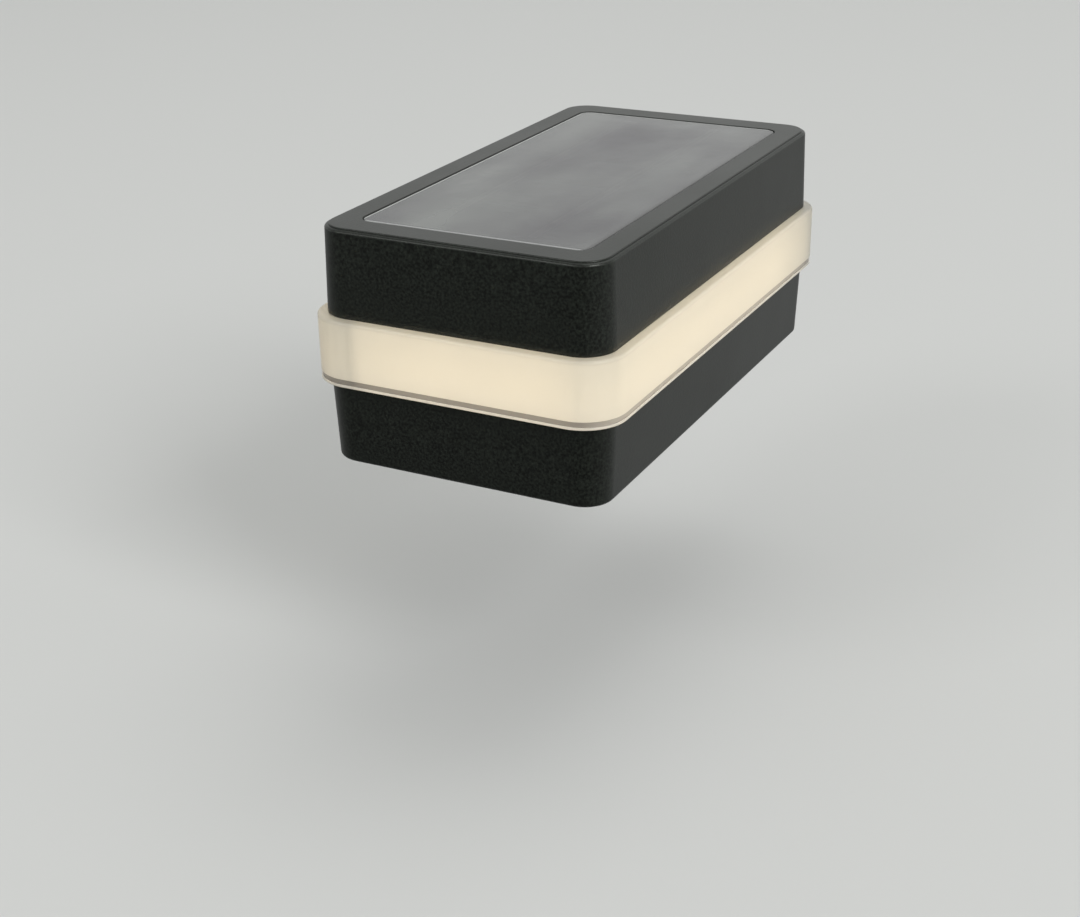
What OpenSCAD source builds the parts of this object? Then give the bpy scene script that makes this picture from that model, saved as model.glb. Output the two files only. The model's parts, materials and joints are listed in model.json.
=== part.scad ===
// Solar light cap for a rectangular fence post.
// X is the short side, Y the long side, Z is up. The origin is the centre of the bottom rim.

/* [Post] */
// Post section along X
post_w = 40; // [38:0.5:42]
// Post section along Y
post_l = 60; // [58:0.5:62]
// Gap between the post and the socket wall on each side, filled by the grip pads
post_gap = 0.8; // [0.6:0.1:1]
// Height of the socket floor above the bottom rim
socket_h = 11.6; // [11:0.1:11.8]

/* [Housings] */
// Width of the housings where they meet the diffuser
cap_w = 51; // [51:0.5:53]
// Length of the housings where they meet the diffuser
cap_l = 95; // [94:0.5:98]
// Overall height
cap_h = 40; // [40:0.5:44]
// Plan radius of the housing corners
corner_r = 5.5; // [5:0.25:7]
// Height of the lower housing
base_h = 14; // [14:0.1:14.4]
// Inward slope of the lower housing at its bottom edge
base_draft = 0.6; // [0.2:0.1:0.8]
// Inward slope of the upper housing at its rim
top_draft = 0.35; // [0.1:0.05:0.6]
// Wall thickness of the housings
wall = 1.8; // [1.6:0.1:2]

/* [Diffuser] */
// Height of the glowing ring
ring_h = 11.3; // [11:0.1:11.6]
// How far the ring stands out of the housings
ring_out = 1.7; // [1.2:0.1:2]

/* [Solar panel] */
// Panel width
panel_w = 40; // [38:0.5:40]
// Panel length
panel_l = 82.4; // [80:0.2:82.4]
// Depth of the panel's face below the rim
panel_sink = 0.2; // [0.1:0.1:0.6]
// Number of cells in a row
cell_count = 5; // [4:1:6]

/* [Battery and light] */
// Diameter of the AAA cell
cell_d = 10.5; // [10:0.1:10.5]
// Length of the AAA cell with its nub
cell_len = 44.5; // [44:0.1:44.5]
// Travel of the switch
switch_travel = 2; // [1.5:0.1:2]

/* [Hidden] */
$fn = 48;
eps = 0.05;

// Colours
black = [0.12, 0.125, 0.12];
white = [0.93, 0.93, 0.9];
opal = [0.97, 0.9, 0.78];
steel = [0.75, 0.75, 0.75];

// Heights
ring_z = base_h;
top_z = ring_z + ring_h;
deck_t = base_h - socket_h;
board_z = 26;
board_t = 1.2;
board_top = board_z + board_t;
panel_h = 1.6;
recess_z = cap_h - panel_sink - panel_h - 0.4;
plate_t = 2;
plate_z = recess_z - plate_t;

// Screws and pillars
pillar_x = 18.5;
pillar_y = 38.75;
pillar_d = 6;
foot_d = 8;
foot_z = 1.5;
screw_d = 2.8;
screw_head_d = 5.2;
screw_head_h = 2;
head_seat_z = 8;
screw_end = 32.5;
bore_gap = 0.15;

// Inner outlines, as half widths taken from the outer outline
foot_in = 1.3;         // inner face of the diffuser behind the housing's outline
upstand_gap = 0.2;
upstand_t = 1;
upstand_h = 2;
spigot_t = 1.1;
flange_t = 1.6;
seal_w = 0.8;
seal_t = 0.6;

// Battery bay
holder_w = 15;
holder_len = 53;
holder_z1 = 25.8;
holder_roof = 1;
bay_w = 11.4;
bay_y0 = -25.6;
bay_y1 = 23.5;
cell_z = base_h + 0.15 + cell_d / 2;
cell_y1 = 23;
nub_len = 1;
nub_d = 3.8;
sleeve_t = 0.15;
cell_body_y0 = cell_y1 - cell_len;

// Battery door
door_w = 16;
door_t = 1.2;
door_r = 0.75;
hinge_y = 26.4;
hinge_z = socket_h + door_r;
door_y0 = -26.8;
door_gap = 0.25;
hinge_pin_d = 1;
hinge_pin_len = 1.2;
seal_pad_t = 0.4;
seal_pad_gap = 0.05;

// Switch
switch_x = 12.2;
switch_y = -8;
switch_w = 3.6;
switch_len = 8.6;
switch_h = 3.6;
switch_pitch = 2.5;
switch_pin_len = 2;
switch_lead_x = 9.4;
knob_w = 1.8;
knob_len = 2;
knob_z = 11.2;
carriage_w = 2.6;
switch_pocket_z = 12.6;

// Panel
panel_gap = 0.25;
panel_r = 2;
recess_w = panel_w + 2 * panel_gap;
recess_l = panel_l + 2 * panel_gap;
tape_t = 0.4;
backing_t = 0.8;
backing_z = recess_z + tape_t;
cell_face_z = backing_z + backing_t;
cell_t = 0.2;
ribbon_t = 0.1;
cells_w = 36;
cells_l = 78;
cell_gap = 0.6;
cell_pitch = (cells_l + cell_gap) / cell_count;
lead_y = -30;
lead_x = 2;
wire_d = 1.2;
lead_run_z = 32.2;
bay_lead_x = 6.4;

// Rounded rectangle prism, true arcs at the corners
module rounded_box(w, l, h, r) {
    translate([-w / 2 + r, -l / 2, 0]) cube([w - 2 * r, l, h]);
    translate([-w / 2, -l / 2 + r, 0]) cube([w, l - 2 * r, h]);
    for (sx = [-1, 1], sy = [-1, 1])
        translate([sx * (w / 2 - r), sy * (l / 2 - r), 0]) cylinder(r = r, h = h);
}

// Rounded rectangular frame, the difference of two rounded boxes
module frame_box(w, l, h, r, t) {
    difference() {
        rounded_box(w, l, h, r);
        translate([0, 0, -1]) rounded_box(w - 2 * t, l - 2 * t, h + 2, max(r - t, 0.3));
    }
}

// Drafted housing body: w0 x l0 at the bottom, w1 x l1 at the top, edges eased by e0 and e1
module drafted_body(w0, l0, w1, l1, h, r, e0, e1) {
    inset = (w1 - w0) / 2;
    steps = 4;
    low = [for (i = [0:steps]) let (a = 90 * i / steps) [r - inset - e0 + e0 * sin(a), e0 - e0 * cos(a)]];
    high = [for (i = [0:steps]) let (a = 90 * i / steps) [r - e1 + e1 * cos(a), h - e1 + e1 * sin(a)]];
    hull()
        for (sx = [-1, 1], sy = [-1, 1])
            translate([sx * (w1 / 2 - r), sy * (l1 / 2 - r), 0])
                rotate_extrude($fn = 32) polygon(concat([[0, 0]], low, high, [[0, h]]));
}

module at_pillars() {
    for (sx = [-1, 1], sy = [-1, 1]) translate([sx * pillar_x, sy * pillar_y, 0]) children();
}

// Wire through a list of points: straight stretches, and a slightly larger ball at each bend
module wire(a, b) {
    v = b - a;
    len = norm(v);
    translate(a) rotate([0, acos(v[2] / len), atan2(v[1], v[0])]) cylinder(d = wire_d, h = len, $fn = 16);
}
module route(points) {
    for (i = [0:len(points) - 2]) wire(points[i], points[i + 1]);
    if (len(points) > 2)
        for (i = [1:len(points) - 2]) translate(points[i]) sphere(d = wire_d + 0.1, $fn = 16);
}

// ---- Lower housing ----

module base_shell() {
    socket_w = post_w + 2 * post_gap;
    socket_l = post_l + 2 * post_gap;
    slot_w = 1.2;
    slot_x = socket_w / 2 + 1.5;
    slot_len = 17;
    pocket_y0 = socket_l / 2 + wall;
    pocket_y1 = cap_l / 2 - base_draft - wall;
    pocket_w = cap_w - 2 * base_draft - 2 * wall;
    rib_x = 5;
    rib_t = 1.2;
    up_w = cap_w - 2 * foot_in - 2 * upstand_gap;
    up_l = cap_l - 2 * foot_in - 2 * upstand_gap;
    color(black) difference() {
        union() {
            difference() {
                drafted_body(cap_w - 2 * base_draft, cap_l - 2 * base_draft, cap_w, cap_l, base_h,
                    corner_r, 0.6, 0.05);
                // Post socket
                translate([-socket_w / 2, -socket_l / 2, -1]) cube([socket_w, socket_l, socket_h + 1]);
                // Pockets at both ends, stiffened by two ribs
                for (s = [0, 1]) mirror([0, s, 0])
                    difference() {
                        translate([-pocket_w / 2, pocket_y0, -1])
                            cube([pocket_w, pocket_y1 - pocket_y0, socket_h + 1]);
                        for (sx = [-1, 1]) {
                            translate([sx * rib_x - rib_t / 2, pocket_y0 - 1, foot_z])
                                cube([rib_t, pocket_y1 - pocket_y0 + 2, socket_h]);
                            translate([sx * pocket_w / 2, pocket_y1, -2])
                                cylinder(r = 2.5, h = socket_h + 3);
                        }
                    }
                // Cored side walls
                for (sx = [-1, 1], i = [-1:1])
                    translate([sx * slot_x - slot_w / 2, i * (slot_len + 2) - slot_len / 2, -1])
                        cube([slot_w, slot_len, socket_h]);
            }
            at_pillars() translate([0, 0, foot_z]) cylinder(d = foot_d, h = base_h - foot_z);
            at_pillars() translate([0, 0, base_h - 1]) cylinder(d = pillar_d, h = board_z - base_h + 1);
            // Upstand that locates the diffuser
            translate([0, 0, base_h - eps]) frame_box(up_w, up_l, upstand_h + eps, 4, upstand_t);
        }
        // Screw bores with sunk heads
        at_pillars() translate([0, 0, -1]) cylinder(d = screw_head_d + 0.6, h = head_seat_z + 1);
        at_pillars() cylinder(d = screw_d + 2 * bore_gap, h = board_z + 1);
        // Door recess, then the smaller opening to the battery bay
        translate([-door_w / 2 - door_gap, door_y0 - door_gap, socket_h - 1])
            cube([door_w + 2 * door_gap, hinge_y + door_r + 2 * door_gap - door_y0, door_t + seal_pad_t + 1]);
        translate([-bay_w / 2, bay_y0, socket_h]) cube([bay_w, bay_y1 - bay_y0, deck_t + 1]);
        // Bearings of the door hinge
        translate([-door_w / 2 - hinge_pin_len - 0.2, hinge_y, hinge_z]) rotate([0, 90, 0])
            cylinder(d = hinge_pin_d + 0.1, h = door_w + 2 * hinge_pin_len + 0.4);
        // Snap-in mouths of the bearings
        translate([-door_w / 2 - hinge_pin_len - 0.2, hinge_y - 0.4, socket_h - 1])
            cube([door_w + 2 * hinge_pin_len + 0.4, 0.8, hinge_z - socket_h + 1]);
        // Finger notch at the free end of the door
        translate([-4, door_y0 - 2.5, socket_h - 1]) cube([8, 4, 1 + 0.8]);
        // Switch pocket and slot
        translate([switch_x, switch_y, socket_h - 1]) rounded_box(5.4, 10, switch_pocket_z - socket_h + 1, 1);
        translate([switch_x - knob_w / 2 - 0.2, switch_y - 2.3, socket_h])
            cube([knob_w + 0.4, 4.6, deck_t + 1]);
        // Seal groove under the diffuser's foot
        translate([0, 0, base_h - seal_t]) frame_box(cap_w - 0.6, cap_l - 0.6, seal_t + 0.3, 5.2, seal_w);
    }
}

module post_grip_pads() {
    pad_w = 8;
    pad_h = 8;
    pad_z = 1.5;
    color([0.2, 0.2, 0.2]) {
        for (s = [-1, 1], y = [-18, 18])
            translate([s * (post_w + post_gap) / 2 - post_gap / 2, y - pad_w / 2, pad_z])
                cube([post_gap, pad_w, pad_h]);
        for (s = [-1, 1], x = [-11, 11])
            translate([x - pad_w / 2, s * (post_l + post_gap) / 2 - post_gap / 2, pad_z])
                cube([pad_w, post_gap, pad_h]);
    }
}

module seat_gasket() {
    t = 1;
    color([0.16, 0.16, 0.16]) translate([0, 0, socket_h - t]) difference() {
        translate([-post_w / 2, -post_l / 2, 0]) cube([post_w, post_l, t]);
        translate([-post_w / 2 + 3, -post_l / 2 + 2, -1]) cube([post_w - 6, post_l - 4, t + 2]);
    }
}

// ---- Battery door and switch ----

module battery_door() {
    color(black) {
        translate([-door_w / 2, door_y0, socket_h]) cube([door_w, hinge_y - door_y0, door_t]);
        // Rounded hinge end with its pins
        translate([-door_w / 2, hinge_y, hinge_z]) rotate([0, 90, 0]) cylinder(r = door_r, h = door_w);
        translate([-door_w / 2 - hinge_pin_len, hinge_y, hinge_z]) rotate([0, 90, 0])
            cylinder(d = hinge_pin_d, h = door_w + 2 * hinge_pin_len);
    }
}

module door_gasket() {
    gasket_l = hinge_y - door_y0 - 1.2;
    color([0.2, 0.2, 0.2])
        translate([0, door_y0 + 0.4 + gasket_l / 2, socket_h + door_t])
            difference() {
                translate([-door_w / 2 + 0.4, -gasket_l / 2, 0])
                    cube([door_w - 0.8, gasket_l, seal_pad_t - seal_pad_gap]);
                translate([-bay_w / 2, -gasket_l / 2 + 1, -1]) cube([bay_w, gasket_l - 2.9, seal_pad_t + 2]);
            }
}

module switch_body() {
    pin_w = 0.5;
    color([0.55, 0.56, 0.58]) {
        difference() {
            translate([switch_x - switch_w / 2, switch_y - switch_len / 2, base_h])
                cube([switch_w, switch_len, switch_h]);
            translate([switch_x - carriage_w / 2 - 0.2, switch_y - 2.6, base_h - 1])
                cube([carriage_w + 0.4, 5.2, 2]);
        }
        for (i = [-1:1])
            translate([switch_x - pin_w / 2, switch_y + i * switch_pitch - pin_w / 2, base_h + switch_h])
                cube([pin_w, pin_w, switch_pin_len]);
    }
}

module switch_slider() {
    rest_y = switch_y - switch_travel / 2;
    carriage_h = 0.6;
    color([0.9, 0.9, 0.88]) {
        translate([switch_x - knob_w / 2, rest_y - knob_len / 2, knob_z])
            cube([knob_w, knob_len, base_h + 0.2 - knob_z]);
        // Carriage that keeps the knob inside the switch
        translate([switch_x - carriage_w / 2, rest_y - knob_len / 2 - 0.3, base_h + 0.2])
            cube([carriage_w, knob_len + 0.6, carriage_h]);
    }
}

// ---- Diffuser and seals ----

module lower_gasket() {
    color([0.2, 0.2, 0.2]) translate([0, 0, base_h - seal_t])
        frame_box(cap_w - 0.6, cap_l - 0.6, seal_t, 5.2, seal_w);
}

module diffuser_ring() {
    outer_w = cap_w + 2 * ring_out;
    outer_l = cap_l + 2 * ring_out;
    outer_r = corner_r + ring_out;
    inner_w = cap_w - 2 * foot_in;
    inner_l = cap_l - 2 * foot_in;
    spigot_w = cap_w - 2 * wall - 2 * upstand_gap;
    spigot_l = cap_l - 2 * wall - 2 * upstand_gap;
    lip_z = 0.6;
    step_h = 0.7;
    step_in = 0.35;
    color(opal) translate([0, 0, ring_z]) difference() {
        union() {
            rounded_box(outer_w, outer_l, ring_h, outer_r);
            translate([0, 0, ring_h - eps]) rounded_box(spigot_w, spigot_l, 2 + eps, 3.6);
        }
        translate([0, 0, -1]) rounded_box(inner_w, inner_l, ring_h - flange_t + 1, 4.3);
        translate([0, 0, -1])
            rounded_box(spigot_w - 2 * spigot_t, spigot_l - 2 * spigot_t, ring_h + 4, 2.6);
        // Small step above the foot
        translate([0, 0, lip_z]) difference() {
            rounded_box(outer_w + 1, outer_l + 1, step_h, outer_r);
            translate([0, 0, -1])
                rounded_box(outer_w - 2 * step_in, outer_l - 2 * step_in, step_h + 2, outer_r - step_in);
        }
        // Groove of the upper seal
        translate([0, 0, ring_h - seal_t]) frame_box(cap_w - 0.6, cap_l - 0.6, seal_t + 0.3, 5.2, seal_w);
    }
}

module upper_gasket() {
    color([0.2, 0.2, 0.2]) translate([0, 0, top_z - seal_t])
        frame_box(cap_w - 0.6, cap_l - 0.6, seal_t, 5.2, seal_w);
}

// ---- Light engine ----

module reflector() {
    tray_w = 45.2;
    tray_l = 89.2;
    tray_t = 0.8;
    skin = 1;
    foot = [36, 66];
    peak = [24, 57];
    peak_h = board_z - base_h - 0.2;
    color(white) translate([0, 0, base_h]) difference() {
        union() {
            rounded_box(tray_w, tray_l, tray_t, 3);
            hull() {
                translate([-foot[0] / 2, -foot[1] / 2, 0]) cube([foot[0], foot[1], 0.1]);
                translate([-peak[0] / 2, -peak[1] / 2, peak_h - 0.1]) cube([peak[0], peak[1], 0.1]);
            }
        }
        hull() {
            translate([-foot[0] / 2 + skin, -foot[1] / 2 + skin, -1])
                cube([foot[0] - 2 * skin, foot[1] - 2 * skin, 1]);
            translate([-peak[0] / 2 + skin, -peak[1] / 2 + skin, peak_h])
                cube([peak[0] - 2 * skin, peak[1] - 2 * skin, 1]);
        }
        at_pillars() translate([0, 0, -1]) cylinder(d = pillar_d + 0.4, h = 4);
    }
}

module led_board() {
    color(white) translate([0, 0, board_z]) difference() {
        rounded_box(43.6, 87.6, board_t, 2.4);
        at_pillars() translate([0, 0, -1]) cylinder(d = screw_d + 2 * bore_gap, h = board_t + 2);
        // Holes for the battery leads
        for (y = [bay_y0 + 0.3, bay_y1 - 0.2])
            translate([bay_lead_x, y, -1]) cylinder(d = wire_d + 0.6, h = board_t + 2);
        // Hole for the switch leads
        translate([switch_lead_x, switch_y, -1]) cylinder(d = 3.6, h = board_t + 2);
    }
}

// LED places: x, y and whether the package lies across
led_x = 17.6;
led_end_y = 33;
led_places = concat(
    [for (s = [-1, 1], i = [-1.5:1:1.5]) [s * led_x, i * 16, 0]],
    [for (s = [-1, 1], x = [-6, 6]) [x, s * led_end_y, 1]]);

module leds() {
    color([0.95, 0.94, 0.9]) for (p = led_places)
        translate([p[0], p[1], board_z - 0.7]) rotate([0, 0, 90 * p[2]])
            translate([-1.4, -1.75, 0]) cube([2.8, 3.5, 0.7]);
}

module led_phosphor() {
    color([0.95, 0.8, 0.3]) for (p = led_places)
        translate([p[0], p[1], board_z - 0.8]) cylinder(d = 2.2, h = 0.1, $fn = 24);
}

module controller_chip() {
    color([0.1, 0.1, 0.1]) translate([-2, 8, board_top]) {
        translate([0, 0, 0.15]) cube([4, 5, 1.5]);
        for (s = [0, 1], i = [0:3])
            translate([s * 5 - 1, 0.4 + i * 1.27, 0]) cube([1, 0.4, 0.5]);
    }
}

module inductor() {
    color([0.35, 0.3, 0.25]) translate([9, 11, board_top]) {
        cylinder(d = 5.8, h = 0.6);
        cylinder(d = 4.2, h = 4);
        translate([0, 0, 3.4]) cylinder(d = 5.8, h = 0.6);
    }
}

module capacitors() {
    color([0.2, 0.25, 0.45]) for (y = [0, 8])
        translate([-11, 8 + y, board_top]) cylinder(d = 5, h = 5.6);
}

module resistors() {
    color([0.15, 0.15, 0.15]) for (i = [0:4])
        translate([-4 + 2.4 * i, 3, board_top]) cube([1.2, 2, 0.6]);
}

connector_places = [[0, -20], [4.6, 19], [11, -22]];
module wire_connectors() {
    color([0.92, 0.9, 0.82]) for (p = connector_places)
        translate([p[0] - 2.6, p[1] - 2, board_top]) difference() {
            cube([5.2, 4, 4]);
            translate([0.7, 0.7, 2]) cube([3.8, 2.6, 3]);
        }
}

// ---- Battery ----

module battery_holder() {
    color([0.14, 0.14, 0.14]) difference() {
        translate([-holder_w / 2, -holder_len / 2, base_h]) cube([holder_w, holder_len, holder_z1 - base_h]);
        translate([-bay_w / 2, bay_y0, base_h - 1])
            cube([bay_w, bay_y1 - bay_y0, holder_z1 - holder_roof - base_h + 1]);
        for (y = [bay_y0 + 0.3, bay_y1 - 0.2])
            translate([bay_lead_x, y, holder_z1 - 4]) cylinder(d = wire_d, h = 5);
    }
}

module lengthwise(y) { translate([0, y, cell_z]) rotate([-90, 0, 0]) children(); }

module cell_can() {
    color(steel) lengthwise(cell_body_y0) cylinder(d = cell_d - 2 * sleeve_t, h = cell_len - nub_len);
}

module cell_sleeve() {
    color([0.16, 0.45, 0.28]) lengthwise(cell_body_y0 + 0.4) difference() {
        cylinder(d = cell_d, h = cell_len - nub_len - 0.8);
        translate([0, 0, -1]) cylinder(d = cell_d - 2 * sleeve_t, h = cell_len);
    }
}

module cell_cap() {
    color(steel) lengthwise(cell_y1 - nub_len) cylinder(d = nub_d, h = nub_len);
}

// Conical spring: a round wire swept along a helix that narrows towards the cell
module contact_spring() {
    spring_len = cell_body_y0 - (bay_y0 + 0.4);
    turns = 3;
    per_turn = 20;
    sides = 8;
    r0 = 3.6;
    r1 = 2;
    wire_r = 0.3;
    count = turns * per_turn;
    pts = [for (i = [0:count]) let (
            f = i / count,
            a = 360 * turns * f,
            r = r0 + (r1 - r0) * f,
            y = wire_r + (spring_len - 2 * wire_r) * f)
        for (j = [0:sides - 1]) let (b = 360 * j / sides)
            [(r + wire_r * cos(b)) * cos(a), y + wire_r * sin(b), (r + wire_r * cos(b)) * sin(a)]];
    faces = concat(
        [for (i = [0:count - 1], j = [0:sides - 1]) let (beside = (j + 1) % sides)
            [i * sides + j, i * sides + beside, (i + 1) * sides + beside, (i + 1) * sides + j]],
        [[for (j = [0:sides - 1]) sides - 1 - j]],
        [[for (j = [0:sides - 1]) count * sides + j]]);
    color(steel) translate([0, bay_y0 + 0.4, cell_z]) polyhedron(points = pts, faces = faces, convexity = 6);
}

module contact_plates() {
    plate_t = 0.4;
    plate_w = 9;
    plate_h = 9;
    color(steel) for (y = [bay_y0, bay_y1 - plate_t])
        translate([-plate_w / 2, y, cell_z - plate_h / 2]) cube([plate_w, plate_t, plate_h]);
}

module battery_leads() {
    plug = connector_places[1];
    color([0.75, 0.12, 0.1]) for (end = [[bay_y0 + 0.3, 0.9], [bay_y1 - 0.2, -0.9]])
        route([[bay_lead_x, end[0], holder_z1 - 4], [bay_lead_x, end[0], lead_run_z],
            [plug[0] + end[1], plug[1], lead_run_z], [plug[0] + end[1], plug[1], board_top + 2.2]]);
}

module switch_leads() {
    plug = connector_places[2];
    pin_top = base_h + switch_h + switch_pin_len;
    under_board = board_z - 1.5;
    spread = 0.75;
    color([0.2, 0.2, 0.22]) for (i = [-1, 1])
        route([[switch_x, switch_y + switch_pitch * (i - 1) / 2, pin_top],
            [switch_x, switch_y + switch_pitch * (i - 1) / 2, pin_top + 1],
            [switch_lead_x + i * spread, switch_y, under_board],
            [switch_lead_x + i * spread, switch_y, lead_run_z],
            [plug[0] + i * 0.9, plug[1], lead_run_z], [plug[0] + i * 0.9, plug[1], board_top + 2.2]]);
}

// ---- Upper housing ----

module top_shell() {
    boss_d = 7;
    rib_t = 1.2;
    rib_h = 2.5;
    inner_w = cap_w - 2 * wall;
    inner_l = cap_l - 2 * wall;
    color(black) difference() {
        union() {
            difference() {
                translate([0, 0, top_z])
                    drafted_body(cap_w, cap_l, cap_w - 2 * top_draft, cap_l - 2 * top_draft,
                        cap_h - top_z, corner_r - top_draft, 0.1, 0.85);
                translate([0, 0, top_z - 1]) rounded_box(inner_w, inner_l, plate_z - top_z + 1, 3.8);
            }
            at_pillars() translate([0, 0, board_top]) cylinder(d = boss_d, h = plate_z - board_top + 0.5);
            for (y = [-12, 28])
                translate([-inner_w / 2 - 0.3, y - rib_t / 2, plate_z - rib_h])
                    cube([inner_w + 0.6, rib_t, rib_h + 0.5]);
        }
        // Panel recess
        translate([0, 0, recess_z]) rounded_box(recess_w, recess_l, cap_h, panel_r + panel_gap);
        at_pillars() translate([0, 0, board_top - 1]) cylinder(d = screw_d, h = screw_end - board_top + 1);
        translate([0, lead_y, plate_z - 1]) cylinder(d = 7, h = plate_t + 2);
    }
}

module lead_seal() {
    color([0.8, 0.8, 0.78]) difference() {
        translate([0, lead_y, plate_z]) cylinder(d = 7, h = plate_t);
        for (s = [-1, 1]) translate([s * lead_x, lead_y, plate_z - 1]) cylinder(d = wire_d, h = plate_t + 2);
    }
}

module panel_adhesive() {
    color([0.1, 0.1, 0.1]) translate([0, 0, recess_z])
        frame_box(panel_w - 1, panel_l - 1, tape_t, panel_r, 4);
}

module panel_backing() {
    color([0.1, 0.25, 0.15]) translate([0, 0, backing_z]) rounded_box(panel_w, panel_l, backing_t, panel_r);
}

module solar_cells() {
    color([0.1, 0.12, 0.2]) for (i = [0:cell_count - 1])
        translate([-cells_w / 2, -cells_l / 2 + i * cell_pitch, cell_face_z])
            cube([cells_w, cell_pitch - cell_gap, cell_t]);
}

module cell_ribbons() {
    color(steel) for (x = [-9, 9])
        translate([x - 0.75, -cells_l / 2 + 1, cell_face_z + cell_t]) cube([1.5, cells_l - 2, ribbon_t]);
}

module panel_cover() {
    pocket = cell_t + ribbon_t;
    color([0.6, 0.62, 0.62, 0.8]) translate([0, 0, cell_face_z]) difference() {
        rounded_box(panel_w, panel_l, panel_h - backing_t, panel_r);
        translate([-cells_w / 2 - 0.3, -cells_l / 2 - 0.3, -1])
            cube([cells_w + 0.6, cells_l + 0.6, 1 + pocket]);
    }
}

module panel_leads() {
    plug = connector_places[0];
    color([0.75, 0.12, 0.1]) for (s = [-1, 1])
        route([[s * lead_x, lead_y, backing_z], [s * lead_x, lead_y, plate_z - 1.5],
            [s * 0.9, plug[1], lead_run_z], [s * 0.9, plug[1], board_top + 2.2]]);
}

module assembly_screws() {
    color(steel) at_pillars() difference() {
        union() {
            translate([0, 0, head_seat_z - screw_head_h]) cylinder(d = screw_head_d, h = screw_head_h);
            translate([0, 0, head_seat_z]) cylinder(d = screw_d, h = screw_end - head_seat_z - 1);
        }
        for (a = [0, 90]) rotate([0, 0, a])
            translate([-1.5, -0.35, head_seat_z - screw_head_h - 1]) cube([3, 0.7, 2]);
    }
}

base_shell();
post_grip_pads();
seat_gasket();
battery_door();
door_gasket();
lower_gasket();
diffuser_ring();
upper_gasket();
reflector();
led_board();
leds();
led_phosphor();
controller_chip();
inductor();
capacitors();
resistors();
wire_connectors();
battery_holder();
cell_can();
cell_sleeve();
cell_cap();
contact_spring();
contact_plates();
battery_leads();
switch_body();
switch_slider();
switch_leads();
top_shell();
lead_seal();
panel_adhesive();
panel_backing();
solar_cells();
cell_ribbons();
panel_cover();
panel_leads();
assembly_screws();
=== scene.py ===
# %% [markdown]
# # A solar light cap for a fence post
# The cap is a stack: a black lower housing that slips over the post, a glowing ring, and a black
# upper housing with a solar panel let into its top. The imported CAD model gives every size, so this
# notebook asks it for each part's box and builds fine surfaces around the same numbers.

import json
import math

import bpy
import numpy as np
from mathutils import Matrix, Vector


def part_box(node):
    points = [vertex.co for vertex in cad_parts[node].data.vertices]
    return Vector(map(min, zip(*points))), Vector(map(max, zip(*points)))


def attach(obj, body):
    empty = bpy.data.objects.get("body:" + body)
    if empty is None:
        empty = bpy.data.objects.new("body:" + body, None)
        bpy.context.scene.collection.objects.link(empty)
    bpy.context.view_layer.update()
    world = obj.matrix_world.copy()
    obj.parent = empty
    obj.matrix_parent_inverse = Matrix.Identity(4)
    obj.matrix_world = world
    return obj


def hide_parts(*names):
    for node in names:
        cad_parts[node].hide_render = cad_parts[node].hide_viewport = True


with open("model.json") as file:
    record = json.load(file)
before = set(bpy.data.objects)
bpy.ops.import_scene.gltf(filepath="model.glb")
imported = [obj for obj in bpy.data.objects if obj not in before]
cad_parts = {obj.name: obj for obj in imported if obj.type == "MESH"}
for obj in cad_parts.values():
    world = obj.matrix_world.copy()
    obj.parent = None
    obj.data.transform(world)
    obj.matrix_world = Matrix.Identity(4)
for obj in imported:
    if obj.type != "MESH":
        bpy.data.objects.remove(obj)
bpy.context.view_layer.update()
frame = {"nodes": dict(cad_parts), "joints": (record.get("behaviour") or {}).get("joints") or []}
NODES = frame["nodes"]
MM = 0.001

# %% [markdown]
# ## Camera
# The cap is seen from a corner, a little above it, from about 30 cm away. Azimuth 0 looks along +Y, so
# 27.5 degrees shows the short front side on the left and the long side running away on the right.

# %% Camera
AZIMUTH = math.radians(27.49)
ELEVATION = math.radians(24.36)
ROLL = math.radians(-0.95)
CAMERA_PLACE = Vector((125.9, -260.8, 116.5)) * MM
FOCAL_LENGTH = 56.75


def aim(azimuth, elevation, roll):
    """Turns a camera: forward is (-sin a cos e, cos a cos e, -sin e), then it rolls about that line."""
    forward = Vector((-math.sin(azimuth) * math.cos(elevation),
                      math.cos(azimuth) * math.cos(elevation), -math.sin(elevation)))
    turn = forward.to_track_quat("-Z", "Y").to_matrix()
    return turn @ Matrix.Rotation(roll, 3, "Z")


camera_data = bpy.data.cameras.new("camera")
camera_data.lens = FOCAL_LENGTH
camera_data.sensor_width = 36
camera_data.clip_start = 0.01
camera = bpy.data.objects.new("camera", camera_data)
camera.matrix_world = Matrix.Translation(CAMERA_PLACE) @ aim(AZIMUTH, ELEVATION, ROLL).to_4x4()
bpy.context.collection.objects.link(camera)
bpy.context.scene.camera = camera
print("camera", round(CAMERA_PLACE.length / MM), "mm from the origin")

# %% [markdown]
# ## Surfaces
# Nearly every shell here is one cross-section carried round a rounded rectangle, as a moulder's
# drawing shows it. The cross-section is a list of (inset, height) pairs: inset is how far the wall
# lies inside the plan outline. All rows have the same number of points, so the faces between
# them are one array of index arithmetic. Straight walls are a union of boxes on a grid instead.

# %% Outline, profile and skin
CORNER_STEPS = 14
AROUND = (CORNER_STEPS + 3) * 4
SUPPORT = 0.12 * MM


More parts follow.
